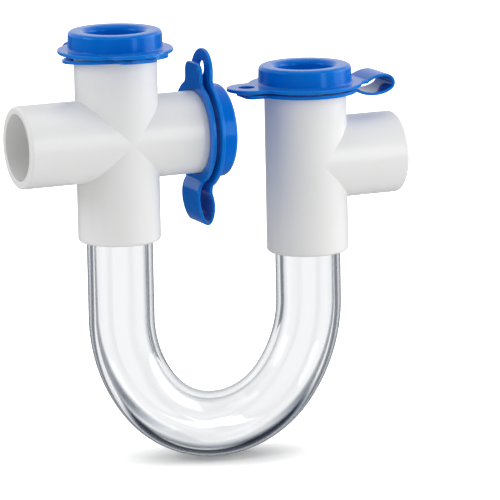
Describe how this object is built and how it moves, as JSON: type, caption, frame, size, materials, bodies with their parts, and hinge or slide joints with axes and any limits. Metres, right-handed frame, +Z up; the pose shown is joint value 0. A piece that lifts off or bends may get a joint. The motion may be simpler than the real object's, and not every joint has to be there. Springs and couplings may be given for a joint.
{
  "type": "condensate trap",
  "caption": "Clear U-shaped trap tube set in a white inlet cross and outlet tee, with a tethered blue push-in cap on each spare socket.",
  "frame": {"origin": "centre of the inlet socket's mouth", "axes": "+X along the flow from inlet to outlet, +Z up, the U hangs down along -Z"},
  "size_m": [0.1646, 0.0711, 0.179],
  "materials": {
    "white_plastic": "moulded white plastic, satin",
    "clear_plastic": "clear plastic, polished",
    "blue_plastic": "soft moulded plastic, satin"
  },
  "bodies": {
    "trap_body": {"inlet_cross": "white_plastic", "outlet_tee": "white_plastic", "trap_tube": "clear_plastic"},
    "cross_top_tether_body": {"cross_top_cap_tether": "blue_plastic"},
    "cross_top_cap_body": {"cross_top_cap": "blue_plastic"},
    "cross_side_tether_body": {"cross_side_cap_tether": "blue_plastic"},
    "cross_side_cap_body": {"cross_side_cap": "blue_plastic"},
    "tee_tether_body": {"tee_cap_tether": "blue_plastic"},
    "tee_cap_body": {"tee_cap": "blue_plastic"}
  },
  "joints": [
    {"name": "cross_top_cap_swivel", "type": "hinge", "parent": "trap_body", "child": "cross_top_tether_body", "pos_m": [0.043, 0, 0.043], "axis": [0, 0, 1], "range_deg": [-45, 45]},
    {"name": "cross_top_cap_pull", "type": "slide", "parent": "cross_top_tether_body", "child": "cross_top_cap_body", "axis": [0, 0, 1], "range_m": [0, 0.016]},
    {"name": "cross_side_cap_swivel", "type": "hinge", "parent": "trap_body", "child": "cross_side_tether_body", "pos_m": [0.0868, 0, 0], "axis": [1, 0, 0], "range_deg": [-90, 90]},
    {"name": "cross_side_cap_pull", "type": "slide", "parent": "cross_side_tether_body", "child": "cross_side_cap_body", "axis": [1, 0, 0], "range_m": [0, 0.003]},
    {"name": "tee_cap_swivel", "type": "hinge", "parent": "trap_body", "child": "tee_tether_body", "pos_m": [0.1256, 0, 0.0223], "axis": [0, 0, 1], "range_deg": [-90, 90]},
    {"name": "tee_cap_pull", "type": "slide", "parent": "tee_tether_body", "child": "tee_cap_body", "axis": [0, 0, 1], "range_m": [0, 0.016]}
  ]
}
